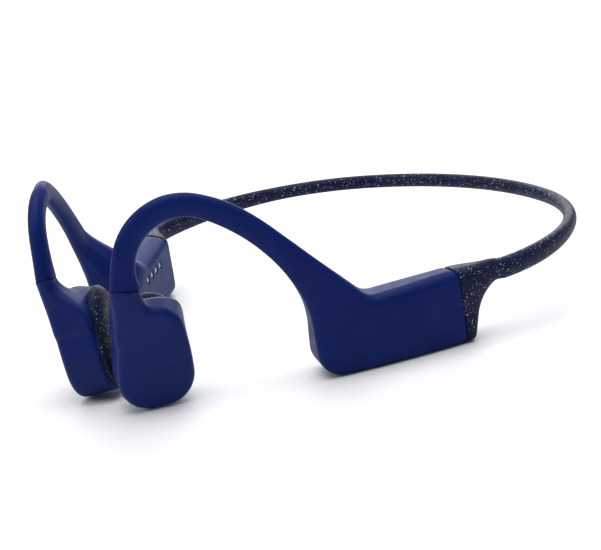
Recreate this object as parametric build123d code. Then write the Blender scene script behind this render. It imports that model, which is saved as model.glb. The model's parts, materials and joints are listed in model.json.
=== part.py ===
from build123d import *
import os
from math import asin, cos, degrees, radians, sin

# Bone conduction headphones. Millimetres and degrees.
# Part frame: +X the wearer's left, +Y to the back of the head, +Z up, z = 0 the surface they rest on.
# Side frame: X outward from the head, Y rearward along the pod, Z up. Both sides are modelled there
# as a left side; TOE turns it in towards the face, and the right side is its mirror image.

# ---- whole object
TOE = 33.0
Y_CENTRE = 0.266          # puts the origin under the middle of the bounding box
JOINT_GAP = 0.3         # gap between the two halves of a sprung joint

# ---- neckband: three tangent arcs in plan, from the middle of the back to the pod
BAND_BACK_Y = 63.8
BACK_R = 72.0
BACK_HALF = 28.0        # x where the back arc ends
CORNER_R = 44.7
TEMPLE_R = 38.0
BAND_Z = 14.3
BAND_W = 3.4
BAND_H = 4.2
HINGE_X = 22.0          # x of the band's hinge, in the middle of the stretch that bends
CORE_R = 0.45           # titanium wire
CABLE_R = 0.5
INNER_Z = 13.3          # height of the wire and the cable inside the skin
CORE_IN = -0.95         # the wire runs this far outside the band's middle line, so inside it
CABLE_IN = 0.15

# ---- pod: the box behind the ear
POD_FRONT = -9.0
POD_REAR = 25.4
POD_TOP = 16.6
POD_IN = 37.3
POD_OUT = 47.2
POD_ROUND = 2.4         # edges of the outer face
POD_ROUND_IN = 3.4      # edges of the face next to the head
CASE_IN = 38.6
CASE_OUT = 45.2
CASE_FRONT = -7.4
CASE_REAR = 24.2
CASE_BOTTOM = 1.6
CASE_TOP = 14.9
CASE_WALL = 1.0
CASE_ROUND = 2.6
COVER_T = 1.0
GASKET_T = 0.4
FIT_GAP = 0.05          # clearance between pieces that fit inside each other

# ---- ear hook: two tangent arcs and a straight tail, in the plane X = HOOK_V
HOOK_V = 45.6
ARCH_C = (-33.0, 30.4)
ARCH_R = 13.2
ARCH_FROM = 190.5       # polar angle at the seam with the transducer
ARCH_TO = 66.0
TAIL_R = 34.0
TAIL_TO = 46.0
SPLIT_Y = -10.0         # where the hook joins the pod
LEADS_R = 0.4
LEADS_IN = 1.25         # the leads run this far inside the wire, towards the ear

# ---- transducer: a stadium-shaped housing that hangs from the hook and leans in to the face
LEAN = 9.0
SEAM_Z = 28.0
STEM_V = 44.9
SEAM_GAP = 0.1
HOUSING_R = 8.0
HOUSING_LOW = -20.35     # centres of the stadium's two ends, below the seam
HOUSING_HIGH = -11.3
HOUSING_Y = -42.4
HOUSING_OUT = 2.0       # outer face, from the middle of the stem
HOUSING_IN = -5.8       # where the blue shell meets the pad
SHELL_WALL = 1.2
PAD_T = 2.4
SHELL_ROUND = 2.2

# ---- controls and contacts, right pod only
BUTTON_YS = (-2.5, 4.1, 10.7, 17.3)
BUTTON_NAMES = ("volume_up_button", "volume_down_button", "play_button", "mode_button")
BUTTON_L = 4.8
BUTTON_W = 3.4
BUTTON_V = 41.8
BUTTON_LOW = 0.15
BUTTON_T = 1.0
BUTTON_GAP = 0.3
BUTTON_TRAVEL = 0.4
PLUNGER_R = 0.8
PLUNGER_TOP = 3.2
CONTACT_Y = 3.6
CONTACT_PITCH = 4.0
CONTACT_COUNT = 4
CONTACT_Z = 11.0
CONTACT_R = 0.8
LIGHT_Y = 21.6
LIGHT_R = 0.6


# ---- placing
def in_part_frame(shape, side):
    """A left-side shape drawn in plan coordinates, moved to its place on either side."""
    moved = Pos(0, Y_CENTRE, 0) * shape
    return moved if side == "left" else mirror(moved, about=Plane.YZ)


def from_side_frame(shape, side):
    return in_part_frame(Rot(0, 0, -TOE) * shape, side)


def slab(sketch, low, high):
    """A sketch of the side view, extruded outward from X = low to X = high."""
    return extrude(Plane.YZ.offset(low) * sketch, high - low)


def round_box(size_x, y_low, y_high, z_low, z_high, x_low, radius):
    outline = Pos((y_low + y_high) / 2, (z_low + z_high) / 2)
    outline *= RectangleRounded(y_high - y_low, z_high - z_low, radius)
    return slab(outline, x_low, x_low + size_x)


def tube(path, radius):
    start = Plane(origin=path @ 0, z_dir=path % 0)
    return sweep(start * Circle(radius), path=path)


def rod(start, end, radius):
    return tube(Line(start, end), radius)


# ---- neckband
def band_arcs(z, from_x, outset=0.0):
    """The band's line in plan at height z, from x = from_x round to the pod, set outward by outset."""
    back_angle = degrees(asin(BACK_HALF / BACK_R))
    first_angle = degrees(asin(from_x / BACK_R))
    reach = BACK_R - CORNER_R
    corner = (reach * sin(radians(back_angle)), BAND_BACK_Y - BACK_R + reach * cos(radians(back_angle)))
    temple = (corner[0] + CORNER_R - TEMPLE_R, corner[1])
    back_c = (0, BAND_BACK_Y - BACK_R, z)
    back = CenterArc(back_c, BACK_R + outset, 90 - first_angle, first_angle - back_angle)
    bend = CenterArc((*corner, z), CORNER_R + outset, 90 - back_angle, back_angle - 90)
    inward = CenterArc((*temple, z), TEMPLE_R + outset, 0, -TOE)
    into_pod = PolarLine(inward @ 1, 8, direction=inward % 1)
    return [back, bend, inward, into_pod]


def band_section(path, at=0):
    frame = Plane(origin=path @ at, x_dir=(0, 0, 1), z_dir=path % at)
    return frame * Ellipse(BAND_H / 2, BAND_W / 2)


def hinge_edge(side_of_gap):
    """x at which a half of the band ends, half a gap before or after the hinge."""
    return HINGE_X + side_of_gap * JOINT_GAP / 2


def centre_arc(z, outset=0.0):
    end = degrees(asin(hinge_edge(-1) / BACK_R))
    return CenterArc((0, BAND_BACK_Y - BACK_R, z), BACK_R + outset, 90 - end, 2 * end)


def band_centre():
    """The middle of the back: silicone skin, titanium core and cable."""
    middle = centre_arc(BAND_Z)
    core = tube(centre_arc(INNER_Z, CORE_IN), CORE_R)
    cable = tube(centre_arc(INNER_Z, CABLE_IN), CABLE_R)
    skin = sweep(band_section(middle), path=middle) - core - cable
    pieces = {"band_skin_centre": skin, "band_core_centre": core, "band_cable_centre": cable}
    return {name: Pos(0, Y_CENTRE, 0) * piece for name, piece in pieces.items()}


def band_flare():
    """The speckled end of the band that closes the pod's rear, in the side frame."""
    side_view = Polyline(
        (POD_REAR, 0.4), (27.2, 0.7), (28.6, 2.2), (29.6, 5.8), (30.8, 8.6), (32.4, 10.6), (34.6, 12.0),
        (34.6, 16.2), (POD_REAR, POD_TOP), close=True,
    )
    top_view = Polyline(
        (POD_IN + 0.4, POD_REAR), (38.2, 28.4), (39.6, 31.4), (40.2, 34.6),
        (43.5, 34.6), (45.6, 28.4), (POD_OUT - 0.4, POD_REAR), close=True,
    )
    upright = slab(make_face(side_view), POD_IN, POD_OUT)
    upright = fillet(upright.edges().filter_by(Axis.X).group_by(Axis.Z)[0], 0.5)
    return upright & extrude(make_face(top_view), 20)


def band_side():
    """One side of the band: skin with its flare, core and cable, reaching into the pod."""
    arcs = band_arcs(BAND_Z, hinge_edge(1))
    run = Wire(arcs[:3])
    core = tube(Wire(band_arcs(INNER_Z, hinge_edge(1), CORE_IN)), CORE_R)
    cable = tube(Wire(band_arcs(INNER_Z, hinge_edge(1), CABLE_IN)), CABLE_R)
    skin = sweep(band_section(run), path=run)
    behind_pod = Pos(0, POD_REAR, 0) * Box(200, 200, 100, align=(Align.CENTER, Align.MIN, Align.CENTER))
    skin &= Rot(0, 0, -TOE) * behind_pod
    skin += Rot(0, 0, -TOE) * band_flare()
    return skin - core - cable, core, cable


# ---- ear hook, in the side frame
def hook_arcs(inset):
    """The hook's line from the seam to the split, inset towards the ear."""
    arch = CenterArc(ARCH_C, ARCH_R - inset, ARCH_FROM, ARCH_TO - ARCH_FROM)
    out = (cos(radians(ARCH_TO)), sin(radians(ARCH_TO)))
    tail_c = (ARCH_C[0] - (TAIL_R - ARCH_R) * out[0], ARCH_C[1] - (TAIL_R - ARCH_R) * out[1])
    tail = CenterArc(tail_c, TAIL_R - inset, ARCH_TO, TAIL_TO - ARCH_TO)
    end = tail @ 1
    length = (SPLIT_Y - JOINT_GAP / 2 - end.X) / (tail % 1).X
    straight = PolarLine(end, length, direction=tail % 1)
    return [arch, tail, straight]


def in_hook_plane(curves):
    return [Plane.YZ.offset(HOOK_V) * curve for curve in curves]


def hook_station(curve, at):
    """A plane across the hook; its X is outward from the head and its Y across the hook."""
    return Plane(origin=curve @ at, x_dir=(1, 0, 0), z_dir=curve % at)


def hook_solid():
    """The silicone's outer shape, through oval sections across the hook."""
    arch, tail, straight = in_hook_plane(hook_arcs(0))
    stations = [(arch, 0.0, 6.0, 4.1), (arch, 0.25, 5.6, 3.8), (arch, 0.5, 5.2, 3.6), (arch, 0.75, 4.9, 3.5),
                (arch, 1.0, 4.8, 3.4), (tail, 1.0, 5.3, 3.5)]
    sections = [hook_station(c, at) * Ellipse(thick / 2, width / 2) for c, at, width, thick in stations]
    lean_in = Pos(STEM_V - HOOK_V, 0, 0)
    sections[0] = lean_in * sections[0]
    sections[1] = Pos((STEM_V - HOOK_V) / 2, 0, 0) * sections[1]
    end = Plane(origin=(HOOK_V, SPLIT_Y - JOINT_GAP / 2, 26.2), x_dir=(1, 0, 0), z_dir=(0, 1, 0))
    sections.append(end * Ellipse(1.8, 4.2))
    return loft(sections)


def before_split(shape):
    """Only what lies on the hook's side of the split."""
    edge = SPLIT_Y - JOINT_GAP / 2
    return shape & Pos(0, edge, 0) * Box(200, 200, 200, align=(Align.CENTER, Align.MAX, Align.CENTER))


def behind_split(shape):
    """Only what lies on the pod's side of the split."""
    edge = SPLIT_Y + JOINT_GAP / 2
    return shape & Pos(0, edge, 0) * Box(200, 200, 200, align=(Align.CENTER, Align.MIN, Align.CENTER))


def hook_parts():
    lines = []
    for inset in (0.0, LEADS_IN):
        arcs = hook_arcs(inset)
        into_housing = PolarLine(arcs[0] @ 0, 4, direction=(arcs[0] % 0) * -1)
        lines.append(Wire(in_hook_plane([Line(into_housing @ 1, into_housing @ 0), *arcs])))
    wire = before_split(tube(lines[0], CORE_R))
    leads = before_split(tube(lines[1], LEADS_R))
    return hook_solid() - wire - leads, wire, leads


# ---- pod, in the side frame
def pod_root():
    """The arm that rises from the pod's front to the hook, through three rounded sections."""
    split_y = SPLIT_Y + JOINT_GAP / 2
    top = Plane(origin=(HOOK_V, split_y, 26.2), x_dir=(1, 0, 0), z_dir=(0, 1, 0)) * RectangleRounded(3.6, 8.4, 1.7)
    knee = Plane(origin=(43.6, -4.2, 18.2), x_dir=(1, 0, 0), z_dir=(0, 0.62, -0.78)) * RectangleRounded(6.4, 10, 3)
    low = Plane(origin=(41.8, -0.9, 8.0), x_dir=(1, 0, 0), z_dir=(0, 0, -1)) * RectangleRounded(6.4, 12.8, 3)
    return loft([top, knee, low])


def pod_solid():
    """The pod's outer shape: a rounded box with the arm growing out of its front."""
    body = round_box(POD_OUT - POD_IN, POD_FRONT, POD_REAR + 6, 0, POD_TOP, POD_IN, 4.0)
    body = fillet(body.faces().sort_by(Axis.X)[0].edges(), POD_ROUND_IN)
    body = fillet(body.faces().sort_by(Axis.X)[-1].edges(), POD_ROUND)
    cut = Pos(0, POD_REAR, 0) * Box(200, 100, 100, align=(Align.CENTER, Align.MIN, Align.CENTER))
    return body - cut + pod_root()


def case_block():
    size_x = CASE_OUT - CASE_IN
    return round_box(size_x, CASE_FRONT, CASE_REAR, CASE_BOTTOM, CASE_TOP, CASE_IN, CASE_ROUND)


def case_room(x_low, x_high, wall=CASE_WALL):
    """The space inside the case's side walls, from x_low to x_high."""
    low_y, high_y = CASE_FRONT + wall, CASE_REAR - wall
    low_z, high_z = CASE_BOTTOM + wall, CASE_TOP - wall
    return round_box(x_high - x_low, low_y, high_y, low_z, high_z, x_low, CASE_ROUND - wall / 2)


def case_parts():
    """Hard case, gasket and the cover on the side next to the head."""
    gasket_in = CASE_IN + COVER_T
    case_in = gasket_in + GASKET_T
    block = case_block()
    shell_part = Pos(case_in + 100, 0, 0) * Box(200, 200, 100)
    case = (block & shell_part) - case_room(case_in, CASE_OUT - CASE_WALL)
    ring = round_box(GASKET_T, CASE_FRONT, CASE_REAR, CASE_BOTTOM, CASE_TOP, gasket_in, CASE_ROUND)
    gasket = ring - case_room(gasket_in, case_in)
    cover = round_box(COVER_T, CASE_FRONT, CASE_REAR, CASE_BOTTOM, CASE_TOP, CASE_IN, CASE_ROUND)
    lip = case_room(gasket_in, gasket_in + 1.4, CASE_WALL + FIT_GAP)
    lip -= case_room(gasket_in, gasket_in + 1.4, CASE_WALL + 0.8)
    return case, gasket, cover + lip


def root_lines():
    """The tails of the hook's wire and leads, from the split down into the case."""
    arcs = [Wire(in_hook_plane(hook_arcs(inset))) for inset in (0.0, LEADS_IN)]
    wire = rod(arcs[0] @ 1, Vector(43.2, -1.2, 13.0), CORE_R)
    leads = rod(arcs[1] @ 1, Vector(41.4, -4.4, 12.2), LEADS_R)
    return behind_split(wire), behind_split(leads)


# ---- transducer, in its own frame
def stadium(inset):
    outline = Pos(HOUSING_Y, HOUSING_LOW) * Circle(HOUSING_R - inset)
    outline += Pos(HOUSING_Y, HOUSING_HIGH) * Circle(HOUSING_R - inset)
    middle = (HOUSING_LOW + HOUSING_HIGH) / 2
    outline += Pos(HOUSING_Y, middle) * Rectangle(2 * (HOUSING_R - inset), HOUSING_HIGH - HOUSING_LOW)
    return outline


def hung(shape):
    """A shape from the transducer's own frame, hung and leaned in the side frame."""
    return Pos(STEM_V, 0, SEAM_Z) * Rot(0, LEAN, 0) * shape


def stem():
    """The neck between the housing and the hook, in the side frame."""
    arch = in_hook_plane(hook_arcs(0))[0]
    seam = hook_station(arch, 0).offset(-SEAM_GAP)
    top = Pos(STEM_V - HOOK_V, 0, 0) * seam * Ellipse(2.05, 3.0)
    seam_y = (arch @ 0).Y
    mid = hung(Pos(-0.4, seam_y - 0.2, -4.0) * Ellipse(2.2, 3.4))
    low = hung(Pos(-1.2, seam_y + 0.6, -10.0) * Ellipse(2.6, 4.6))
    return loft([top, mid, low])


def transducer_shell():
    shell = slab(stadium(0), HOUSING_IN, HOUSING_OUT)
    shell = fillet(shell.faces().sort_by(Axis.X)[-1].edges(), SHELL_ROUND)
    room = slab(stadium(SHELL_WALL), HOUSING_IN, HOUSING_OUT - SHELL_WALL)
    return hung(shell) + stem() - hung(room)


def transducer_pad():
    """The soft face that rests on the cheekbone, with a lip that plugs into the shell."""
    pad = slab(stadium(0.4), HOUSING_IN - PAD_T, HOUSING_IN)
    pad = fillet(pad.faces().sort_by(Axis.X)[0].edges(), 1.6)
    lip = slab(stadium(SHELL_WALL + FIT_GAP), HOUSING_IN, HOUSING_IN + 0.8)
    return pad + lip - slab(stadium(2.4), HOUSING_IN, HOUSING_IN + 0.8)


def driver_plate(length, width, low, high, radius=1.0):
    middle = (HOUSING_LOW + HOUSING_HIGH) / 2
    return slab(Pos(HOUSING_Y, middle) * RectangleRounded(width, length, radius), low, high)


def driver_parts():
    """The motor that shakes the pad: steel yoke, magnet, voice coil, sprung plate and drive plate."""
    back = HOUSING_OUT - SHELL_WALL
    yoke = driver_plate(14.0, 12.4, back - 0.8, back)
    walls = driver_plate(14.0, 12.4, back - 3.0, back - 0.8) - driver_plate(17.0, 11.0, back - 3.0, back - 0.8)
    magnet = driver_plate(11.0, 8.0, back - 2.7, back - 0.8, 0.4)
    coil = driver_plate(14.4, 10.4, back - 4.1, back - 1.7, 1.6)
    coil -= driver_plate(12.0, 8.6, back - 4.1, back - 1.7, 0.8)
    spring = driver_plate(18.4, 12.6, back - 4.4, back - 4.1, 4.0)
    middle = (HOUSING_LOW + HOUSING_HIGH) / 2
    for slot_y in (-5.4, 5.4):
        spring -= slab(Pos(HOUSING_Y + slot_y, middle) * SlotOverall(12, 0.7, rotation=90), -9, 9)
    drive = driver_plate(17.0, 9.4, HOUSING_IN, HOUSING_IN + 1.0, 3.0)
    drive += driver_plate(6.0, 5.0, HOUSING_IN + 1.0, back - 4.4, 1.0)
    return {
        "yoke": yoke + walls, "magnet": magnet, "voice_coil": coil, "spring_plate": spring, "drive_plate": drive,
    }


# ---- electronics and controls, in the side frame
def left_electronics():
    cell = round_box(3.0, 0.6, 22.0, 3.4, 12.5, 40.1, 1.2)
    board = round_box(0.8, 1.0, 20.5, 4.0, 12.5, 43.2, 0.4)
    return {"battery": cell, "battery_board": board}


def right_electronics():
    board = round_box(0.9, 0.8, 22.8, 6.6, 12.5, 43.0, 0.6)
    chips = [(5.0, 4.6, 4.0, 9.9), (4.0, 3.6, 12.0, 10.2), (2.4, 1.6, 17.4, 11.4), (1.6, 3.0, 17.6, 8.4)]
    chip_row = [Pos(42.65, y, z) * Box(0.7, length, height) for length, height, y, z in chips]
    switch_board = Pos(BUTTON_V, 8.0, 5.6) * Box(3.6, 27.0, 0.6)
    switches = [Pos(BUTTON_V, y, 4.55) * Box(3.0, 3.0, 1.5) for y in BUTTON_YS]
    return {
        "main_board": board, "board_chips": Compound(chip_row),
        "switch_board": switch_board, "button_switches": Compound(switches),
    }


def contact_pins(radius, start):
    """The charging contacts: pins that end just under the face next to the head."""
    length = CASE_IN + COVER_T + 0.9 - start
    stand = (Align.CENTER, Align.CENTER, Align.MIN)
    pins = []
    for i in range(CONTACT_COUNT):
        where = Pos(start, CONTACT_Y + i * CONTACT_PITCH, CONTACT_Z)
        pins.append(where * Rot(0, 90, 0) * Cylinder(radius, length, align=stand))
    return Compound(pins)


def upright_box(y, length, width, low, high, radius):
    outline = Pos(BUTTON_V, y) * RectangleRounded(width, length, radius)
    return extrude(Plane.XY.offset(low) * outline, high - low)


def upright_pin(y, radius, low, high):
    return extrude(Plane.XY.offset(low) * Pos(BUTTON_V, y) * Circle(radius), high - low)


def button(y):
    """A key on the pod's underside, with the plunger that presses its switch."""
    key = upright_box(y, BUTTON_L, BUTTON_W, BUTTON_LOW, BUTTON_LOW + BUTTON_T, 1.2)
    return key + upright_pin(y, PLUNGER_R, BUTTON_LOW + BUTTON_T, PLUNGER_TOP)


def button_holes():
    """What the keys and plungers need cut from the skin and from the case's floor."""
    holes = []
    for y in BUTTON_YS:
        wide = BUTTON_L + 2 * BUTTON_GAP, BUTTON_W + 2 * BUTTON_GAP
        holes.append(upright_box(y, *wide, -1, CASE_BOTTOM, 1.5))
        holes.append(upright_pin(y, PLUNGER_R + 0.15, CASE_BOTTOM, CASE_BOTTOM + CASE_WALL))
    return holes


def light_pipe():
    return upright_pin(LIGHT_Y, LIGHT_R, BUTTON_LOW, CASE_BOTTOM + CASE_WALL)


# ---- one whole side, every piece in the part frame
def cut_all(shape, cuts):
    for cut in cuts:
        shape -= cut
    return shape


def right_pod_controls():
    """What only the right pod has, and the cuts that it needs in the skin, the cover and the case."""
    contacts = contact_pins(CONTACT_R, POD_IN + 0.35)
    contact_holes = contact_pins(CONTACT_R + 0.15, POD_IN - 1)
    light = light_pipe()
    light_hole = upright_pin(LIGHT_Y, LIGHT_R, -1, CASE_BOTTOM + CASE_WALL)
    pieces = {"charge_contacts": contacts, "light_pipe": light} | right_electronics()
    pieces |= {name: button(y) for name, y in zip(BUTTON_NAMES, BUTTON_YS)}
    cuts = [*button_holes(), light_hole]
    return pieces, [contact_holes, *cuts], [contacts], cuts


def pod_pieces(side):
    band_skin, core, cable = band_side()
    to_side_frame = Rot(0, 0, TOE)
    lines = [to_side_frame * core, to_side_frame * cable, *root_lines()]
    case, gasket, cover = case_parts()
    if side == "right":
        pieces, skin_cuts, cover_cuts, case_cuts = right_pod_controls()
    else:
        pieces, skin_cuts, cover_cuts, case_cuts = left_electronics(), [], [], []
    skin = cut_all(pod_solid(), [*lines, *skin_cuts]) - case_block()
    pieces |= {"hook_wire_root": lines[2], "hook_leads_root": lines[3], "pod_gasket": gasket}
    pieces |= {"pod_skin": skin, "pod_case": cut_all(case, [*lines, *case_cuts])}
    pieces["pod_cover"] = cut_all(cover, cover_cuts)
    placed = {name: from_side_frame(piece, side) for name, piece in pieces.items()}
    band = {"band_skin": band_skin, "band_core": core, "band_cable": cable}
    return placed | {name: in_part_frame(piece, side) for name, piece in band.items()}


def hook_pieces(side):
    skin, wire, leads = hook_parts()
    shell = transducer_shell()
    for line in (wire, leads):
        shell -= line
    inner = {"transducer_pad": transducer_pad()} | driver_parts()
    pieces = {"hook_skin": skin, "hook_wire": wire, "hook_leads": leads, "transducer_shell": shell}
    placed = {name: from_side_frame(piece, side) for name, piece in pieces.items()}
    return placed | {name: from_side_frame(hung(piece), side) for name, piece in inner.items()}


def all_pieces():
    pieces = band_centre()
    for side in ("left", "right"):
        for name, piece in (pod_pieces(side) | hook_pieces(side)).items():
            pieces[f"{side}_{name}"] = piece
    return pieces


def main():
    os.makedirs("parts", exist_ok=True)
    for name, piece in all_pieces().items():
        export_step(piece, f"parts/{name}.step")


main()
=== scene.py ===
import json
import math

import bmesh
import bpy
import numpy as np
from mathutils import Matrix, Vector


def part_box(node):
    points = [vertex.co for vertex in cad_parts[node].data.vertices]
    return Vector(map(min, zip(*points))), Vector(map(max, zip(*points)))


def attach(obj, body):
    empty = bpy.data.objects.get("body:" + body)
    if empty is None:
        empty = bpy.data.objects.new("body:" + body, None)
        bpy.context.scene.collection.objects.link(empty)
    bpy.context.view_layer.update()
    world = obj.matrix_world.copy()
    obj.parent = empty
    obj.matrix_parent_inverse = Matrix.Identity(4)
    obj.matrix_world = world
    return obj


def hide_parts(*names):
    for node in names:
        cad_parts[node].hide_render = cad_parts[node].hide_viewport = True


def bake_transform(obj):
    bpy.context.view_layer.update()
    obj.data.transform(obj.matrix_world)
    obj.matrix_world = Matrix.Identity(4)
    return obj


# Looks of a pair of bone conduction headphones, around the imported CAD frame.
# Shapes are worked out in millimetres, in the CAD's side frame:
# v outward from the head, u rearward, z up. The plan frame has x to the left and y rearward.
# The silicone, the shells and the band are signed distance fields, meshed where the field is zero.

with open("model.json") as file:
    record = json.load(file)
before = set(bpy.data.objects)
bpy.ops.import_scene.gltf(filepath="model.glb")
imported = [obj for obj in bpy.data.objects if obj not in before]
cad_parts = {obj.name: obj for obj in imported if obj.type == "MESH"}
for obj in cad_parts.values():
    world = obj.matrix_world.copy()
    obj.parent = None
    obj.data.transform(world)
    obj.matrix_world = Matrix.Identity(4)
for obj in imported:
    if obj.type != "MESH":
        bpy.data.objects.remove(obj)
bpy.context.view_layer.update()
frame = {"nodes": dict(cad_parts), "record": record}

TOE = math.radians(33.0)
LEAN = math.radians(9.0)
CAD_BAND_BACK_Y = 65.5
BAND_BACK_Y = 64.6
Y_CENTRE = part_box("band_skin_centre")[1].y * 1000 - CAD_BAND_BACK_Y

POD_REAR = 25.4
POD_TOP = 16.6
POD_IN = 37.3
KEY_V = 41.8
ARCH = (-33.0, 30.4)
ARCH_R = 13.2
SEAM_ANGLE = math.radians(190.5)
SEAM_SLOPE = math.radians(8.0)
STEM_V = 44.9
STEM_Z = 28.0
JOINT_GAP = 0.05


# ---- fields: small tools
def step01(x):
    """0 below 0, 1 above 1, and a smooth step between."""
    x = np.clip(x, 0, 1)
    return x * x * (3 - 2 * x)


def mix(a, b, t):
    return a + (b - a) * t


def on_circle(centre, radius, angle):
    return centre[0] + radius * math.cos(angle), centre[1] + radius * math.sin(angle)


def box2(x, y, half_x, half_y, corner):
    """A rounded rectangle about the origin."""
    qx, qy = np.abs(x) - half_x + corner, np.abs(y) - half_y + corner
    return np.hypot(np.maximum(qx, 0), np.maximum(qy, 0)) + np.minimum(np.maximum(qx, qy), 0) - corner


def smooth_union(a, b, k):
    h = np.clip(0.5 + 0.5 * (b - a) / k, 0, 1)
    return mix(b, a, h) - k * h * (1 - h)


def round_cut(a, b, r):
    """Intersection of two fields, with the edge between them rounded to radius r."""
    return np.minimum(-r, np.maximum(a, b)) + np.hypot(np.maximum(a + r, 0), np.maximum(b + r, 0))


def rounded_slab(a, b, ra, rb):
    """An outline field a, extruded through the thickness field b, with elliptical edges ra by rb."""
    small = np.minimum(ra, rb)
    past_a = np.maximum((a + ra) / ra, 0)
    past_b = np.maximum((b + rb) / rb, 0)
    inner = np.minimum(np.maximum(a + ra, b + rb), 0)
    return (np.hypot(past_a, past_b) - 1) * small + inner


def chain(start, heading, moves):
    """Lines (length,) and arcs (radius, turn), each tangent to the last; a turn to the left is positive."""
    point, angle, pieces = np.array(start, float), math.radians(heading), []
    for move in moves:
        ahead = np.array([math.cos(angle), math.sin(angle)])
        if len(move) == 1:
            pieces.append((point, angle, move[0]))
            point = point + move[0] * ahead
        else:
            radius, turn = move[0], math.radians(move[1])
            side = math.copysign(1, turn)
            centre = point + side * radius * np.array([-ahead[1], ahead[0]])
            from_angle = math.atan2(*(point - centre)[::-1])
            pieces.append((centre, radius, from_angle, turn))
            point = centre + radius * np.array([math.cos(from_angle + turn), math.sin(from_angle + turn)])
            angle += turn
    return pieces


def right_of(pieces, u, z):
    """Signed distance from a chain, positive on its right."""
    nearest = np.full(u.shape, np.inf)
    signed = np.zeros(u.shape)
    for piece in pieces:
        du, dz = u - piece[0][0], z - piece[0][1]
        if len(piece) == 3:
            _, angle, length = piece
            off = du * math.sin(angle) - dz * math.cos(angle)
            along = du * math.cos(angle) + dz * math.sin(angle)
            reach = np.hypot(off, np.maximum(np.maximum(-along, along - length), 0))
        else:
            _, radius, from_angle, turn = piece
            off = math.copysign(1, turn) * (np.hypot(du, dz) - radius)
            middle = np.arctan2(dz, du) - from_angle - turn / 2
            beside = np.abs(np.arctan2(np.sin(middle), np.cos(middle))) <= abs(turn) / 2
            ends = [from_angle, from_angle + turn]
            to_end = [np.hypot(du - radius * math.cos(e), dz - radius * math.sin(e)) for e in ends]
            reach = np.where(beside, np.abs(off), np.minimum(*to_end))
        closer = reach < nearest
        nearest = np.where(closer, reach, nearest)
        signed = np.where(closer, np.where(off < 0, -reach, reach), signed)
    return signed


# ---- outlines in the side view (u, z)
OUTER_EDGE = chain((60, POD_TOP), 180, [
    (34,), (60, 3), (16,), (4.5, -50), (24.7,), (60, 6.9), (30.1, 20.5), (14.7, 91.3), (64.6, 15.2), (12,),
])
INNER_EDGE = chain((60, 0), 180, [(62.9,), (5.3, -90), (5.2,), (24.2, 20.5), (40, 40), (10.3, 130), (8,)])
REAR_EDGE = chain((-20, 0), 0, [(46.3,), (1.8, 75), (4.1,), (9.6, -75), (60,)])


# ---- the band's line in plan, from the middle of the back to the pod
BACK_R, CORNER_R, TEMPLE_R, BACK_HALF = 72.0, 44.7, 38.0, 30.0
BACK_ANGLE = math.asin(BACK_HALF / BACK_R)
BACK_C = (0.0, BAND_BACK_Y - BACK_R)
CORNER_C = (
    (BACK_R - CORNER_R) * math.sin(BACK_ANGLE),
    BACK_C[1] + (BACK_R - CORNER_R) * math.cos(BACK_ANGLE),
)
TEMPLE_C = (CORNER_C[0] + CORNER_R - TEMPLE_R, CORNER_C[1])


def to_plan(v, u):
    """Side frame to plan frame."""
    return v * math.cos(TOE) + u * math.sin(TOE), -v * math.sin(TOE) + u * math.cos(TOE)


def plan_offset(x, y):
    """Distance outside the band's middle line, and how far round it is: 0 at the back, 1 at the pod."""
    from_back = np.arctan2(x - BACK_C[0], y - BACK_C[1])
    from_corner = np.arctan2(x - CORNER_C[0], y - CORNER_C[1])
    from_temple = np.arctan2(x - TEMPLE_C[0], y - TEMPLE_C[1])
    on_back = from_back < BACK_ANGLE
    on_corner = from_corner < math.pi / 2
    back = np.hypot(x - BACK_C[0], y - BACK_C[1]) - BACK_R
    corner = np.hypot(x - CORNER_C[0], y - CORNER_C[1]) - CORNER_R
    temple = np.hypot(x - TEMPLE_C[0], y - TEMPLE_C[1]) - TEMPLE_R
    lengths = [BACK_R * BACK_ANGLE, CORNER_R * (math.pi / 2 - BACK_ANGLE), TEMPLE_R * TOE]
    run = np.where(on_back, BACK_R * from_back, lengths[0] + CORNER_R * (from_corner - BACK_ANGLE))
    run = np.where(on_corner, run, lengths[0] + lengths[1] + TEMPLE_R * (from_temple - math.pi / 2))
    return np.where(on_back, back, np.where(on_corner, corner, temple)), run / sum(lengths)


def near_pod(share):
    return step01((share - 0.45) / 0.4)


def band_height(share):
    """z of the band's middle line."""
    return mix(13.9, 13.6, near_pod(share))


def band_field(v, u, z):
    x, y = to_plan(v, u)
    off, share = plan_offset(x, y)
    end = near_pod(share)
    half_w = mix(1.62, 1.8, end)
    half_h = mix(1.75, 2.4, end)
    flatter_inside = 0.08 * step01(-off / half_w)
    radial = np.hypot(off * (1 + flatter_inside) / half_w, (z - band_height(share)) / half_h)
    return (radial - 1) * half_w


# ---- pod, hook and flare as one skin
SKIN_END = 37.0
SEAM_REAR = -36.0
SEAM_ROUND, FLARE_ROUND = 0.12, 0.3


def temple_v(u):
    """v of the band's middle line beside the pod."""
    x, y = TEMPLE_C
    centre_v = x * math.cos(TOE) - y * math.sin(TOE)
    centre_u = x * math.sin(TOE) + y * math.cos(TOE)
    return centre_v + np.sqrt(np.maximum(TEMPLE_R**2 - (u - centre_u) ** 2, 1.0))


def bow(u):
    """How far the hook and the pod's outer face bulge outward, between the hook's top and the pod's rear."""
    return 2.6 * np.clip(1 - ((u + 5) / 30) ** 2, 0, 1)


def near_seam(u, z):
    """0 on the hook's tail, 1 at its seam with the transducer."""
    top = math.radians(95)
    round_arch = np.mod(np.arctan2(z - ARCH[1], u - ARCH[0]) + math.pi / 2, 2 * math.pi) - math.pi / 2
    return step01((round_arch - top) / (SEAM_ANGLE - top))


def hook_middle(u, z):
    """v of the hook's middle."""
    return mix(46.3, STEM_V, near_seam(u, z)) - 0.7 * step01((u + 24) / 16) + bow(u)


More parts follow.
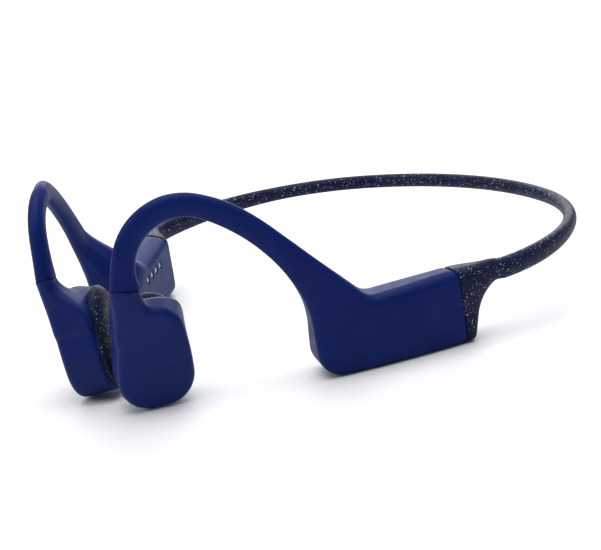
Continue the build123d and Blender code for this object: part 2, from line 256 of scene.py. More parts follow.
def skin_field(v, u, z):
    """The whole outside of one side: ear hook, pod and the flare that runs into the band."""
    a = np.maximum(right_of(OUTER_EDGE, u, z), -right_of(INNER_EDGE, u, z))
    a = np.maximum(a, right_of(REAR_EDGE, u, z))
    to_seam = near_seam(u, z)
    into_pod = step01(((u + 11) * 0.42 + (27.5 - z) * 0.9) / 19)
    into_band = step01((u - 25.6) / 8.6)
    middle, half = hook_middle(u, z), mix(1.74, 2.05, to_seam)
    inner = mix(middle - half, POD_IN, into_pod)
    outer = mix(middle + half, 46.5 + bow(u), into_pod)
    inner = mix(inner, temple_v(u) - 1.8, into_band)
    outer = mix(outer, temple_v(u) + 1.8, into_band)
    body = into_pod * (1 - into_band)
    crown = 0.45 * body * np.clip(1 + a / 7, 0, 1) ** 2
    high = step01((z - 4) / 8)

    def edge(hook_tail, hook_seam, pod_foot, pod_top, band):
        on_hook, on_pod = mix(hook_tail, hook_seam, to_seam), mix(pod_foot, pod_top, high)
        return mix(mix(on_hook, on_pod, into_pod), band, into_band)

    inner_a, inner_b = edge(2.35, 2.75, 3.0, 3.7, 2.3), edge(1.7, 2.0, 3.4, 5.0, 1.75)
    outer_a, outer_b = edge(2.35, 2.75, 1.4, 2.4, 2.3), edge(1.7, 2.0, 1.4, 2.2, 1.75)
    turn = outer - outer_b - 0.15 * (outer - inner - outer_b - inner_b)
    out_face = v > turn
    thick = np.where(out_face, v - outer + crown, inner - v)
    skin = rounded_slab(a, thick, np.where(out_face, outer_a, inner_a), np.where(out_face, outer_b, inner_b))
    in_band = step01((u - SKIN_END + 4) / 4)
    return np.where(u > SKIN_END, band_field(v, u, z), mix(skin, band_field(v, u, z), in_band))


def behind_seam(v, u, z):
    """Positive on the band's side of the line where the blue skin meets the speckled flare."""
    corner = mix(4.4, 1.7, np.clip((v - POD_IN) / 9, 0, 1))
    qu, qz = u - (POD_REAR - corner), z - (POD_TOP + 0.12 - corner)
    past = np.hypot(np.maximum(qu, 0), np.maximum(qz, 0)) + np.minimum(np.maximum(qu, qz), 0) - corner
    return np.minimum(past, u - 12)  # nothing of the flare lies ahead of u 12


def above_hook_seam(u, z):
    """Distance up the hook from its seam with the transducer."""
    seam = on_circle(ARCH, ARCH_R, SEAM_ANGLE)
    return (u - seam[0]) * math.sin(SEAM_SLOPE) + (z - seam[1]) * math.cos(SEAM_SLOPE)


def blue_field(v, u, z):
    field = round_cut(skin_field(v, u, z), behind_seam(v, u, z) + 0.04, FLARE_ROUND)
    below_seam = np.minimum(JOINT_GAP - above_hook_seam(u, z), SEAM_REAR - u)
    return round_cut(field, below_seam, SEAM_ROUND)


def speckled_field(v, u, z):
    return round_cut(skin_field(v, u, z) + 0.02, 0.04 - behind_seam(v, u, z), FLARE_ROUND)


# ---- transducer
def hung(v, u, z):
    """Side frame to the transducer's own frame: t outward, u, and z from the seam."""
    dv, dz = v - STEM_V, z - STEM_Z
    return dv * math.cos(LEAN) - dz * math.sin(LEAN), u, dv * math.sin(LEAN) + dz * math.cos(LEAN)


def housing_outline(u, z):
    """The housing from the side: an upright oval with a full, slightly flattened bottom."""
    front = -48.6 - 1.8 * step01((-z - 7) / 14)
    rear = -33.4 - 0.6 * step01((-z - 12) / 12)
    corner = mix(6.7, 7.8, step01((z + 20) / 8))
    return box2(u - (front + rear) / 2, z + 15.9, (rear - front) / 2, 12.3, corner)


def stem(u, z):
    """The neck between the hook and the housing, widening downward."""
    along = np.clip(-z / 12, -0.5, 1)
    return np.abs(u - mix(-45.95, -45.3, along)) - mix(3.15, 3.9, along) + np.maximum(-z - 12, 0)


def shell_field(v, u, z):
    t, u2, z2 = hung(v, u, z)
    # the top rear shoulder slopes in toward the outer face
    shoulder = 1.7 * step01((z2 + 22) / 16) * step01((u2 + 47) / 6) * np.clip((t + 7) / 8, 0, 1)
    a = smooth_union(housing_outline(u2, z2) + shoulder, stem(u2, z2), 2.2)
    down = step01((-z2 - 0.8) / 9)
    middle, half = mix(0.0, -2.9, down), mix(2.05, 4.7, down)
    outer = t > middle
    edge_a = mix(2.75, np.where(outer, 1.5, 0.9), down)
    edge_b = mix(2.0, np.where(outer, 1.3, 0.8), down)
    crown = 0.22 * down * np.clip(1 + a / 5, 0, 1) ** 2
    body = rounded_slab(a, np.abs(t - middle) - half + crown, edge_a, edge_b)
    return round_cut(body, above_hook_seam(u, z) + JOINT_GAP, SEAM_ROUND)


def pad_field(v, u, z):
    """The soft face on the cheek's side of the housing."""
    t, u2, z2 = hung(v, u, z)
    a = housing_outline(u2, z2) + mix(0.5, 1.8, step01((z2 + 16) / 12))
    return rounded_slab(a, np.abs(t + 7.6) - 2.1, np.full(t.shape, 4.4), np.full(t.shape, 1.9))


# ---- controls on the right pod
KEY_YS = (-2.5, 4.1, 10.7, 17.3)
CONTACT_YS = (3.6, 7.6, 11.6, 15.6)
CONTACT_Z = 11.0
WELL_DEPTH, PLUNGER_DEPTH = 1.7, 3.8


def right_blue_field(v, u, z):
    """The right skin, with a well for each key and a pocket for each contact."""
    field = blue_field(v, u, z)
    for key_y in KEY_YS:
        well = np.maximum(box2(u - key_y, v - KEY_V, 2.7, 2.0, 1.5), z - WELL_DEPTH)
        plunger = np.maximum(np.hypot(u - key_y, v - KEY_V) - 1.0, z - PLUNGER_DEPTH)
        field = round_cut(field, -np.minimum(well, plunger), 0.22)
    for contact_y in CONTACT_YS:
        pocket = np.maximum(np.hypot((u - contact_y) / 0.8, (z - CONTACT_Z) / 0.95) * 0.8 - 0.8, v - 38.1)
        field = round_cut(field, -pocket, 0.12)
    return field


def key_field(mark):
    """A key's cap and plunger, with its mark in relief on the underside."""
    def field(v, u, z):
        key = rounded_slab(box2(u, v, 2.4, 1.7, 1.2), np.abs(z - 0.68) - 0.5, 0.45, 0.4)
        key = smooth_union(key, np.maximum(np.hypot(u, v) - 0.8, np.abs(z - 2.1) - 1.1), 0.2)
        return smooth_union(key, rounded_slab(mark(u, v), np.abs(z - 0.22) - 0.17, 0.12, 0.12), 0.1)
    return field


def plus(u, v):
    return np.minimum(box2(u, v, 0.85, 0.2, 0.1), box2(u, v, 0.2, 0.85, 0.1))


def minus(u, v):
    return box2(u, v, 0.2, 0.85, 0.1)


def triangle(u, v):
    return np.maximum(np.abs(v) * 0.87 + u * 0.5 - 0.5, -u - 0.5)


def dot(u, v):
    return np.hypot(u, v) - 0.45


def contact_field(v, u, z):
    oval = np.hypot(u / 0.62, z / 0.76) * 0.62 - 0.62
    return rounded_slab(oval, np.abs(v - 37.9) - 0.5, 0.4, 0.25)


def cover_field(v, u, z):
    """The hard cover of the pod's case, next to the head."""
    return rounded_slab(box2(u - 8.5, z - 7.6, 15.2, 5.6, 2.4), np.abs(v - 39.3) - 0.55, 0.5, 0.4)


# ---- meshing a field
def field_grid(field, low, high, cell):
    """Field values on a grid, worked out finely only near the surface."""
    counts = np.ceil((high - low) / cell).astype(int) + 1
    block = 6
    starts = [np.arange(0, n, block) for n in counts]
    corners = np.stack(np.meshgrid(*starts, indexing="ij"), -1).reshape(-1, 3)
    rough = field(*(low + cell * (corners + (block - 1) / 2)).T)
    values = rough.reshape([len(s) for s in starts])
    for axis in range(3):
        values = values.repeat(block, axis)
    values = values[: counts[0], : counts[1], : counts[2]].copy()
    inside_block = np.stack(np.meshgrid(*[np.arange(block)] * 3, indexing="ij"), -1).reshape(-1, 3)
    near = np.abs(rough) < cell * block * 1.5
    ids = (corners[near][:, None] + inside_block[None]).reshape(-1, 3)
    ids = ids[(ids < counts).all(1)]
    values[tuple(ids.T)] = field(*(low + cell * ids).T)
    return values


def shifted(grid, offset, shape):
    return grid[tuple(slice(o, o + n) for o, n in zip(offset, shape))]


def surface_net(values, low, cell):
    """One vertex in each cell that the surface crosses, and a quad across each crossed grid edge."""
    cells = [n - 1 for n in values.shape]
    inside = values < 0
    offsets = [(i, j, k) for i in (0, 1) for j in (0, 1) for k in (0, 1)]
    count = sum(shifted(inside, o, cells).astype(int) for o in offsets)
    active = (count > 0) & (count < 8)
    where = np.argwhere(active)
    index = np.full(cells, -1)
    index[active] = np.arange(len(where))
    total, crossings = np.zeros((len(where), 3)), np.zeros(len(where))
    for o in offsets:
        for axis in range(3):
            if o[axis]:
                continue
            ahead = np.eye(3, dtype=int)[axis]
            a = values[tuple((where + o).T)]
            b = values[tuple((where + o + ahead).T)]
            crossed = (a < 0) != (b < 0)
            share = np.where(crossed, a / np.where(crossed, a - b, 1), 0)
            total += np.where(crossed[:, None], np.array(o) + share[:, None] * ahead, 0)
            crossings += crossed
    points = low + cell * (where + total / crossings[:, None])
    quads = []
    for axis in range(3):
        ahead = np.eye(3, dtype=int)[axis]
        others = [np.eye(3, dtype=int)[(axis + 1) % 3], np.eye(3, dtype=int)[(axis + 2) % 3]]
        shape = [n - d for n, d in zip(values.shape, ahead)]
        a, b = shifted(inside, (0, 0, 0), shape), shifted(inside, tuple(ahead), shape)
        for edges, flip in ((np.argwhere(a & ~b), False), (np.argwhere(~a & b), True)):
            edges = edges[(edges[:, (axis + 1) % 3] > 0) & (edges[:, (axis + 2) % 3] > 0)]
            ring = [edges - others[0] - others[1], edges - others[1], edges, edges - others[0]]
            quad = np.stack([index[tuple(c.T)] for c in ring], 1)
            quads.append(quad[:, ::-1] if flip else quad)
    quads = np.concatenate(quads)
    return points, quads[(quads >= 0).all(1)]


def project(field, points, cell):
    """Moves points onto the surface along the field's slope."""
    reach = 0.02
    corners = np.array([(1, -1, -1), (-1, -1, 1), (-1, 1, -1), (1, 1, 1)], float)
    samples = [field(*(points + reach * c).T) for c in corners]
    value = sum(samples) / 4
    slope = sum(s[:, None] * c for s, c in zip(samples, corners)) / (4 * reach)
    move = -value[:, None] * slope / np.maximum((slope**2).sum(1), 0.05)[:, None]
    length = np.linalg.norm(move, axis=1, keepdims=True)
    return points + move * np.minimum(1, 0.6 * cell / np.maximum(length, 1e-9))


def relaxed(points, quads):
    """Each point halfway to the middle of its neighbours."""
    ends = np.concatenate([quads[:, [i, (i + 1) % 4]] for i in range(4)])
    ends = np.concatenate([ends, ends[:, ::-1]])
    count = np.bincount(ends[:, 0], minlength=len(points)).astype(float)
    mean = np.stack([np.bincount(ends[:, 0], points[ends[:, 1], i], len(points)) for i in range(3)], 1)
    return (points + mean / np.maximum(count, 1)[:, None]) / 2


def field_mesh(field, low, high, cell):
    low, high = np.array(low, float), np.array(high, float)
    points, quads = surface_net(field_grid(field, low, high, cell), low, cell)
    points = project(field, points, cell)
    for _ in range(3):
        points = project(field, relaxed(points, quads), cell)
    return project(field, points, cell), quads


# ---- objects
def to_part(points, side):
    """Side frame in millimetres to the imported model's frame in metres."""
    v, u, z = points.T
    x, y = to_plan(v, u)
    return np.stack([x if side == "left" else -x, y + Y_CENTRE, z], 1) / 1000


def make_object(name, points, faces, material, slot, side="left"):
    mesh = bpy.data.meshes.new(name)
    if side == "right":
        faces = faces[:, ::-1]
    mesh.vertices.add(len(points))
    mesh.vertices.foreach_set("co", points.ravel())
    mesh.loops.add(faces.size)
    mesh.loops.foreach_set("vertex_index", faces.ravel())
    mesh.polygons.add(len(faces))
    mesh.polygons.foreach_set("loop_start", np.arange(0, faces.size, faces.shape[1]))
    mesh.polygons.foreach_set("use_smooth", np.ones(len(faces), bool))
    mesh.update(calc_edges=True)
    mesh.validate()
    mesh.materials.append(material)
    made = bpy.data.objects.new(name, mesh)
    bpy.context.scene.collection.objects.link(made)
    return made


def keep_rest(made):
    """Stores each point's place at rest, in millimetres, so that a pattern stays put as the piece bends."""
    mesh = made.data
    rest = np.zeros(len(mesh.vertices) * 3, np.float32)
    mesh.vertices.foreach_get("co", rest)
    attribute = mesh.attributes.new("rest_mm", "FLOAT_VECTOR", "POINT")
    attribute.data.foreach_set("vector", rest * 1000)


def side_point(v, u, z, side):
    return Vector(to_part(np.array([(v, u, z)], float), side)[0])


# ---- materials
def new_material(name, colour, roughness, metallic=0.0):
    made = bpy.data.materials.new(name)
    made.use_nodes = True
    shader = made.node_tree.nodes["Principled BSDF"]
    shader.inputs["Base Color"].default_value = (*colour, 1)
    shader.inputs["Roughness"].default_value = roughness
    shader.inputs["Metallic"].default_value = metallic
    return made, made.node_tree, shader


def rest_coordinates(tree):
    """Where a point of a piece that bends is at rest, in millimetres."""
    node = tree.nodes.new("ShaderNodeAttribute")
    node.attribute_name = "rest_mm"
    return node.outputs["Vector"]


def object_coordinates(tree):
    """Where a point of a rigid piece is, in millimetres."""
    scale = tree.nodes.new("ShaderNodeVectorMath")
    scale.operation = "SCALE"
    scale.inputs["Scale"].default_value = 1000
    tree.links.new(tree.nodes.new("ShaderNodeTexCoord").outputs["Object"], scale.inputs[0])
    return scale.outputs[0]


def noise(tree, where, scale, detail=2.0):
    node = tree.nodes.new("ShaderNodeTexNoise")
    node.inputs["Scale"].default_value = scale
    node.inputs["Detail"].default_value = detail
    tree.links.new(where, node.inputs["Vector"])
    return node.outputs["Fac"]


def ramp(tree, value, stops):
    """A colour ramp; a stop is (position, (r, g, b)) or (position, (grey,))."""
    node = tree.nodes.new("ShaderNodeValToRGB")
    while len(node.color_ramp.elements) < len(stops):
        node.color_ramp.elements.new(0.5)
    for element, (at, colour) in zip(node.color_ramp.elements, stops):
        element.position = at
        element.color = (*colour, 1) if len(colour) == 3 else (colour[0],) * 3 + (1,)
    tree.links.new(value, node.inputs["Fac"])
    return node.outputs["Color"]


def add_bump(tree, shader, height, strength, distance):
    bump = tree.nodes.new("ShaderNodeBump")
    bump.inputs["Strength"].default_value = strength
    bump.inputs["Distance"].default_value = distance
    tree.links.new(height, bump.inputs["Height"])
    tree.links.new(bump.outputs["Normal"], shader.inputs["Normal"])


def maths(tree, operation, a, b=None):
    node = tree.nodes.new("ShaderNodeMath")
    node.operation = operation
    for socket, value in zip(node.inputs, (a, b)):
        if value is None:
            continue
        if isinstance(value, (int, float)):
            socket.default_value = value
        else:
            tree.links.new(value, socket)
    return node.outputs[0]


def silicone(name, low, high, gloss):
    """Soft-touch silicone: faint mottling, a fine grain and an uneven satin finish."""
    made, tree, shader = new_material(name, high, 0.5)
    where = rest_coordinates(tree)
    colour = ramp(tree, noise(tree, where, 0.12, 3), [(0.35, low), (0.65, high)])
    tree.links.new(colour, shader.inputs["Base Color"])
    rough = ramp(tree, noise(tree, where, 0.5, 4), [(0.3, (0.42,)), (0.7, (0.5,))])
    tree.links.new(rough, shader.inputs["Roughness"])
    add_bump(tree, shader, noise(tree, where, 9.0, 2), 0.12, 0.00004)
    shader.inputs["Specular IOR Level"].default_value = gloss
    return made


def flecks(tree, where, cell, smallest, largest):
    """Round flecks of varied size in millimetres, one for each Voronoi cell at most, and a random tone."""
    node = tree.nodes.new("ShaderNodeTexVoronoi")
    node.inputs["Scale"].default_value = 1 / cell
    tree.links.new(where, node.inputs["Vector"])
    split = tree.nodes.new("ShaderNodeSeparateColor")
    tree.links.new(node.outputs["Color"], split.inputs[0])
    size = maths(tree, "POWER", split.outputs[0], 2.5)
    size = maths(tree, "ADD", maths(tree, "MULTIPLY", size, (largest - smallest) / cell), smallest / cell)
    inside = maths(tree, "SUBTRACT", size, node.outputs["Distance"])
    mask = maths(tree, "MULTIPLY", inside, 16.0)
    clamp = tree.nodes.new("ShaderNodeClamp")
    tree.links.new(mask, clamp.inputs[0])
    return clamp.outputs[0], split.outputs[1]


def speckled():
    """Navy silicone with pale flecks of many sizes moulded in."""
    made = silicone("speckled_silicone", (0.005, 0.008, 0.030), (0.009, 0.014, 0.044), 0.11)
    tree, shader = made.node_tree, made.node_tree.nodes["Principled BSDF"]
    base = shader.inputs["Base Color"].links[0].from_socket
    where = rest_coordinates(tree)
    warp = tree.nodes.new("ShaderNodeVectorMath")
    warp.operation = "MULTIPLY_ADD"
    stir = tree.nodes.new("ShaderNodeTexNoise")
    stir.inputs["Scale"].default_value = 2.2
    tree.links.new(where, stir.inputs["Vector"])
    tree.links.new(stir.outputs["Color"], warp.inputs[0])
    warp.inputs[1].default_value = (0.5, 0.5, 0.5)
    tree.links.new(where, warp.inputs[2])
    tones = [(0.0, (0.16, 0.19, 0.30)), (0.6, (0.42, 0.46, 0.60)), (1.0, (0.80, 0.83, 0.92))]
    fine = flecks(tree, warp.outputs[0], 0.36, 0.02, 0.13)
    coarse = flecks(tree, warp.outputs[0], 0.72, 0.0, 0.17)
    for mask, tone in (fine, coarse):
        shade = ramp(tree, tone, tones)
        blend = tree.nodes.new("ShaderNodeMix")
        blend.data_type = "RGBA"
        tree.links.new(mask, blend.inputs[0])
        tree.links.new(base, blend.inputs[6])
        tree.links.new(shade, blend.inputs[7])
        base = blend.outputs[2]
    tree.links.new(base, shader.inputs["Base Color"])
    return made


def grained(name, low, high, roughness, grain, depth, metallic=0.0):
    """A moulded, cast or plated finish: two close tones, a fine grain and uneven roughness."""
    made, tree, shader = new_material(name, high, roughness, metallic)
    where = object_coordinates(tree)
    colour = ramp(tree, noise(tree, where, 0.3, 3), [(0.3, low), (0.7, high)])
    tree.links.new(colour, shader.inputs["Base Color"])
    rough = ramp(tree, noise(tree, where, 1.1, 3), [(0.3, (roughness - 0.05,)), (0.7, (roughness + 0.05,))])
    tree.links.new(rough, shader.inputs["Roughness"])
    add_bump(tree, shader, noise(tree, where, grain, 2), 0.3, depth)
    return made


def striped(name, dark, light, roughness, pitch, metallic):
    """Fine parallel lines, for winding wire, strand and brushed metal."""
    made, tree, shader = new_material(name, light, roughness, metallic)
    where = object_coordinates(tree)
    wave = tree.nodes.new("ShaderNodeTexWave")
    wave.bands_direction = "DIAGONAL"
    wave.inputs["Scale"].default_value = 0.5 / pitch
    wave.inputs["Distortion"].default_value = 0.4
    tree.links.new(where, wave.inputs["Vector"])
    colour = ramp(tree, wave.outputs["Fac"], [(0.2, dark), (0.8, light)])
    tree.links.new(colour, shader.inputs["Base Color"])
    add_bump(tree, shader, wave.outputs["Fac"], 0.4, 0.00003)
    return made


BLUE = silicone("blue_silicone", (0.0030, 0.0125, 0.104), (0.0040, 0.0154, 0.124), 0.09)
# A copy of the blue silicone whose base colour is raised a little: painted light, standing in for the light
# on the transducer's faces and keys. Its higher specular level is the shell's own gloss.
BLUE_SHELL_PAINTED_LIGHTER = silicone("blue_silicone_shell_painted_lighter", (0.0034, 0.0132, 0.106), (0.0044, 0.0160, 0.126), 0.13)
SPECKLED = speckled()
GRAINED = {  # two tones, roughness, grain per mm, grain depth in m, metallic
    "cable_jacket": ((0.012, 0.012, 0.013), (0.022, 0.022, 0.024), 0.5, 5.0, 0.00003),
    "case_plastic": ((0.020, 0.022, 0.028), (0.032, 0.034, 0.042), 0.45, 4.0, 0.00004),
    "gasket_rubber": ((0.03, 0.03, 0.032), (0.05, 0.05, 0.052), 0.7, 3.0, 0.00004),
    "magnet_nickel": ((0.58, 0.57, 0.54), (0.70, 0.69, 0.66), 0.2, 2.0, 0.00001, 1.0),
    "battery_foil": ((0.50, 0.51, 0.53), (0.62, 0.63, 0.65), 0.36, 0.8, 0.00005, 0.9),
    "circuit_board": ((0.008, 0.045, 0.020), (0.014, 0.070, 0.032), 0.38, 1.5, 0.00003),
    "chip_black": ((0.010, 0.010, 0.011), (0.020, 0.020, 0.021), 0.55, 7.0, 0.00002),
    "switch_metal": ((0.45, 0.45, 0.44), (0.62, 0.62, 0.60), 0.3, 3.0, 0.00001, 1.0),
    "gold_contact": ((0.50, 0.46, 0.40), (0.64, 0.60, 0.54), 0.38, 6.0, 0.00001, 0.75),
    "clear_plastic": ((0.62, 0.66, 0.70), (0.76, 0.79, 0.83), 0.25, 2.0, 0.00001),
}
STRIPED = {  # two tones, roughness, pitch in mm, metallic
    "titanium_wire": ((0.30, 0.29, 0.28), (0.46, 0.44, 0.42), 0.32, 0.15, 1.0),
    "steel": ((0.40, 0.41, 0.42), (0.58, 0.58, 0.59), 0.34, 0.2, 1.0),
    "copper": ((0.42, 0.16, 0.07), (0.72, 0.33, 0.18), 0.3, 0.12, 1.0),
}
BY_SLOT = {"blue_silicone": BLUE, "speckled_silicone": SPECKLED}
BY_SLOT.update({slot: grained(slot, *values) for slot, values in GRAINED.items()})
BY_SLOT.update({slot: striped(slot, *values) for slot, values in STRIPED.items()})

for subpart in frame["record"]["subparts"]:
    data = frame["nodes"][subpart["node"]].data
    data.materials.clear()
    data.materials.append(BY_SLOT[subpart["material_slot"]])


# ---- meshed shapes
CELL = 0.34
SMALL_CELL = 0.12
SKIN_BOX = ((36.2, -51.2, -1.0), (51.0, 27.4, 47.6))
SHELL_BOX = ((29.5, -52.2, -2.0), (49.2, -32.6, 30.0))
BAND_BOX = ((-38.0, 19.4, -1.0), (48.0, 69.5, 19.0))
COVER_BOX = ((38.2, -7.6, 1.0), (40.4, 24.6, 14.2))
KEY_BOX = ((-2.1, -2.8, -0.2), (2.1, 2.8, 3.6))
CONTACT_BOX = ((37.2, -1.3, -1.6), (38.7, 1.3, 1.6))

SKINS = {
    "left": field_mesh(blue_field, *SKIN_BOX, CELL),
    "right": field_mesh(right_blue_field, *SKIN_BOX, CELL),
}
SHELL = field_mesh(shell_field, *SHELL_BOX, CELL)
PAD = field_mesh(pad_field, *SHELL_BOX, CELL)
BAND = field_mesh(speckled_field, *BAND_BOX, CELL)
COVER = field_mesh(cover_field, *COVER_BOX, CELL)


# ---- pieces
def add_piece(name, shape, material, slot, side, *replaced):
    """A meshed shape on one side, in place of CAD nodes."""
    points, faces = shape
    made = make_object(name, to_part(points, side), faces, material, slot, side)
    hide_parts(*replaced)
    if slot.endswith("silicone"):
        keep_rest(made)
    return made


def halved(made, side):
    """Cuts a band half off at the middle of the back and closes the end with a flat face."""
    cutter = bmesh.new()
    cutter.from_mesh(made.data)
    geometry = cutter.verts[:] + cutter.edges[:] + cutter.faces[:]
    inward = (-1, 0, 0) if side == "left" else (1, 0, 0)
    cut = bmesh.ops.bisect_plane(
        cutter, geom=geometry, dist=1e-6, plane_co=(0, 0, 0), plane_no=inward, clear_outer=True,
    )
    rim = [part for part in cut["geom_cut"] if isinstance(part, bmesh.types.BMEdge)]
    for face in bmesh.ops.edgeloop_fill(cutter, edges=rim)["faces"]:
        face.smooth = False
    for edge in rim:
        edge.smooth = False
    bmesh.ops.recalc_face_normals(cutter, faces=cutter.faces[:])
    cutter.to_mesh(made.data)
    cutter.free()


WIRE_STEP = 1.5
WIRE_SIDES = 12
BAND_WIRES = (
    ("titanium_core", "band_core", -0.8, 0.45, "titanium_wire"),
    ("cable", "band_cable", 0.3, 0.5, "cable_jacket"),
)
HOOK_WIRES = (("hook_wire", 0.0, 0.45, "titanium_wire"), ("hook_leads", 1.25, 0.4, "cable_jacket"))
TAIL_R = 34.0
TAIL_FROM, TAIL_TO = math.radians(66), math.radians(46)
WIRE_IN_POD = 8.0
BAND_BEND = ((0.0, 63.0, 15.0), (46.0, 42.0, 15.0))
HOOK_BEND = ((45.5, -4.5, 20.5), (47.5, -17.5, 33.5))


def tube_mesh(name, line, radius, side, slot):
    """A round wire along a line of points, given in the left side's plan frame in millimetres."""
    line = np.array(line)
    ahead = np.gradient(line, axis=0)
    ahead /= np.linalg.norm(ahead, axis=1, keepdims=True)
    across = np.cross(ahead, (0.3, 0.2, 1.0))
    across /= np.linalg.norm(across, axis=1, keepdims=True)
    up = np.cross(across, ahead)
    spin = np.linspace(0, 2 * math.pi, WIRE_SIDES, endpoint=False)[None, :, None]
    points = line[:, None] + radius * (np.cos(spin) * across[:, None] + np.sin(spin) * up[:, None])
    points = points.reshape(-1, 3) + (0, Y_CENTRE, 0)
    faces = []
    for i in range(len(line) - 1):
        for k in range(WIRE_SIDES):
            a, b = i * WIRE_SIDES + k, i * WIRE_SIDES + (k + 1) % WIRE_SIDES
            faces.append((a, b, b + WIRE_SIDES, a + WIRE_SIDES))
    flip = np.array([1 if side == "left" else -1, 1, 1])
    return make_object(name, points * flip / 1000, np.array(faces), BY_SLOT[slot], slot, side)


def band_line(outset):
    """Along the band, from the middle of the back into the pod."""
    arcs = [
        (BACK_C, BACK_R, math.pi / 2, -BACK_ANGLE),
        (CORNER_C, CORNER_R, math.pi / 2 - BACK_ANGLE, BACK_ANGLE - math.pi / 2),
        (TEMPLE_C, TEMPLE_R, 0.0, -TOE),
    ]
    total = sum(r * abs(turn) for _, r, _, turn in arcs)
    run, line = 0.0, []
    for centre, r, start, turn in arcs:
        count = int(r * abs(turn) / WIRE_STEP)
        for i in range(count + (centre is TEMPLE_C)):
            angle = start + turn * i / count
            height = band_height((run + r * abs(turn) * i / count) / total)
            line.append((*on_circle(centre, r + outset, angle), height))
        run += r * abs(turn)
    x, y, height = line[-1]
    return line + [(x - WIRE_IN_POD * math.sin(TOE), y - WIRE_IN_POD * math.cos(TOE), height - 0.4)]


def hook_line(inset):
    """Along the ear hook, from inside the transducer's stem round to the pod's case."""
    radius, line = ARCH_R - inset, []
    seam = on_circle(ARCH, radius, SEAM_ANGLE)
    line.append((seam[0] - 4 * math.sin(SEAM_ANGLE) - 1.4, seam[1] - 4))
    for angle in np.linspace(SEAM_ANGLE, TAIL_FROM, 26):
        line.append(on_circle(ARCH, radius, angle))
    tail_centre = on_circle(ARCH, ARCH_R - TAIL_R, TAIL_FROM)
    for angle in np.linspace(TAIL_FROM, TAIL_TO, 9)[1:]:
        line.append(on_circle(tail_centre, TAIL_R - inset, angle))
    u, z = line[-1]
    line += [(u + 0.72 * run, z - 0.69 * run) for run in (2.0, 4.0, 6.0)]
    plan = [(*to_plan(float(hook_middle(u, z)), u), z) for u, z in line]
    return plan + [(*to_plan(46.0, -6.5), 21.5 - inset / 2), (*to_plan(43.0, -2.0), 13.0)]


def hook_pieces(side):
    """The blue skin with its wire and leads, between the pod and the hook."""
    skin = f"{side}_pod_skin", f"{side}_hook_skin"
    bending = [add_piece(f"{side}_pod_and_hook", SKINS[side], BLUE, "blue_silicone", side, *skin)]
    for name, inset, radius, slot in HOOK_WIRES:
        wire = tube_mesh(f"{side}_{name}", hook_line(inset), radius, side, slot)
        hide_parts(f"{side}_{name}", f"{side}_{name}_root")
        bending.append(wire)
    root, tail = [side_point(*point, side) for point in HOOK_BEND]
    for piece in bending:
        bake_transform(piece)
        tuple(root)
        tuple(tail)


def case_cover(side):
    nodes = f"{side}_pod_cover", f"{side}_pod_gasket"
    made = add_piece(f"{side}_case_cover", COVER, BY_SLOT["case_plastic"], "case_plastic", side, *nodes)
    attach(made, f"{side}_side")


def transducer(side):
    shell = f"{side}_transducer_shell"
    housing = add_piece(f"{side}_housing", SHELL, BLUE_SHELL_PAINTED_LIGHTER, "blue_silicone", side, shell)
    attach(housing, f"{side}_hook")
    pad = f"{side}_transducer_pad"
    cheek_pad = add_piece(f"{side}_cheek_pad", PAD, SPECKLED, "speckled_silicone", side, pad)
    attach(cheek_pad, f"{side}_hook")


def band_pieces(side):
    """Half of the flecked band with its wire and cable, over the whole back."""
    points, faces = BAND
    points = to_part(points, side)
    half = make_object(f"{side}_band_half", points, faces, SPECKLED, "speckled_silicone", side)
    halved(half, side)
    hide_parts(f"{side}_band_skin", "band_skin_centre")
    keep_rest(half)
    bending = [half]
    for name, node, outset, radius, slot in BAND_WIRES:
        wire = tube_mesh(f"{side}_{name}", band_line(outset), radius, side, slot)
        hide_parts(f"{side}_{node}", f"{node}_centre")
        bending.append(wire)
    out = 1 if side == "left" else -1
    middle, temple = [Vector((out * x, y + Y_CENTRE, z)) / 1000 for x, y, z in BAND_BEND]
    for piece in bending:
        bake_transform(piece)
        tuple(middle)
        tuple(temple)


def keys():
    marks = (
        ("volume_up_button", plus),
        ("volume_down_button", minus),
        ("play_button", triangle),
        ("mode_button", dot),
    )
    for (name, mark), key_y in zip(marks, KEY_YS):
        points, faces = field_mesh(key_field(mark), *KEY_BOX, SMALL_CELL)
        shape = points + np.array([KEY_V, key_y, 0]), faces
        key = add_piece(f"{name}_cap", shape, BLUE_SHELL_PAINTED_LIGHTER, "blue_silicone", "right", f"right_{name}")
        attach(key, name)


def charging_contacts():
    points, faces = field_mesh(contact_field, *CONTACT_BOX, SMALL_CELL)
    every = np.concatenate([points + np.array([0, y, CONTACT_Z]) for y in CONTACT_YS])
    rings = np.concatenate([faces + i * len(points) for i in range(len(CONTACT_YS))])
    gold, node = BY_SLOT["gold_contact"], "right_charge_contacts"
    contacts = add_piece("charging_contacts", (every, rings), gold, "gold_contact", "right", node)
    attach(contacts, "right_side")


for side in ("left", "right"):
    hook_pieces(side)
    case_cover(side)
    transducer(side)
    band_pieces(side)
keys()
charging_contacts()


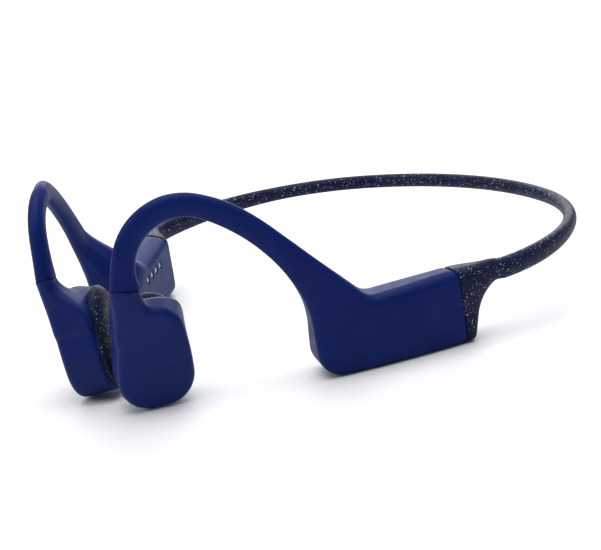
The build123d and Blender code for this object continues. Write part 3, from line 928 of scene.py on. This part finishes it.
# ---- floor, lights and camera
def pale_floor():
    made, tree, shader = new_material("pale_floor", (0.82, 0.83, 0.84), 0.6)
    shader.inputs["Specular IOR Level"].default_value = 0.15
    mesh = bpy.data.meshes.new("floor")
    half = 4.0
    corners = [(-half, -half, 0), (half, -half, 0), (half, half, 0), (-half, half, 0)]
    mesh.from_pydata(corners, [], [(0, 1, 2, 3)])
    mesh.materials.append(made)
    floor = bpy.data.objects.new("floor", mesh)
    floor.location.z = -0.0002  # a hair under the pods, so that the two faces don't flicker
    bpy.context.scene.collection.objects.link(floor)


def soft_light(name, position, size, power):
    """A rectangular lamp that looks at the object."""
    target = Vector((0, 0, 0.02))
    data = bpy.data.lights.new(name, "AREA")
    data.shape = "RECTANGLE"
    data.size, data.size_y = size
    data.energy = power
    lamp = bpy.data.objects.new(name, data)
    lamp.location = position
    lamp.rotation_mode = "QUATERNION"
    lamp.rotation_quaternion = (target - Vector(position)).to_track_quat("-Z", "Y")
    bpy.context.scene.collection.objects.link(lamp)


pale_floor()
soft_light("overhead", (0.0, 0.10, 1.0), (1.2, 1.2), 14.0)
soft_light("front_left", (-0.55, -0.75, 0.65), (0.6, 0.6), 3.6)
soft_light("behind", (-0.80, 0.80, 0.42), (1.3, 0.6), 8.0)

world = bpy.data.worlds.new("studio")
world.use_nodes = True
background = world.node_tree.nodes["Background"]
background.inputs["Color"].default_value = (0.93, 0.95, 1.0, 1)
background.inputs["Strength"].default_value = 0.2
bpy.context.scene.world = world
bpy.context.scene.view_settings.view_transform = "Standard"

AZIMUTH, ELEVATION, ROLL = math.radians(45.4), math.radians(16.3), math.radians(-9.2)
DISTANCE = 0.475
AIM = Vector((-0.005, 0.0057 + Y_CENTRE / 1000, 0.0073))


def set_camera():
    data = bpy.data.cameras.new("camera")
    data.sensor_width = 36.0
    data.lens = 119.2013
    data.clip_start = 0.02
    data.clip_end = 20.0
    camera = bpy.data.objects.new("camera", data)
    bpy.context.scene.collection.objects.link(camera)
    bpy.context.scene.camera = camera
    flat = math.cos(ELEVATION)
    back = Vector((math.sin(AZIMUTH) * flat, -math.cos(AZIMUTH) * flat, math.sin(ELEVATION)))
    camera.location = AIM + back * DISTANCE
    camera.rotation_mode = "QUATERNION"
    level = (-back).to_track_quat("-Z", "Y")
    camera.rotation_quaternion = level @ Matrix.Rotation(ROLL, 3, "Z").to_quaternion()


set_camera()
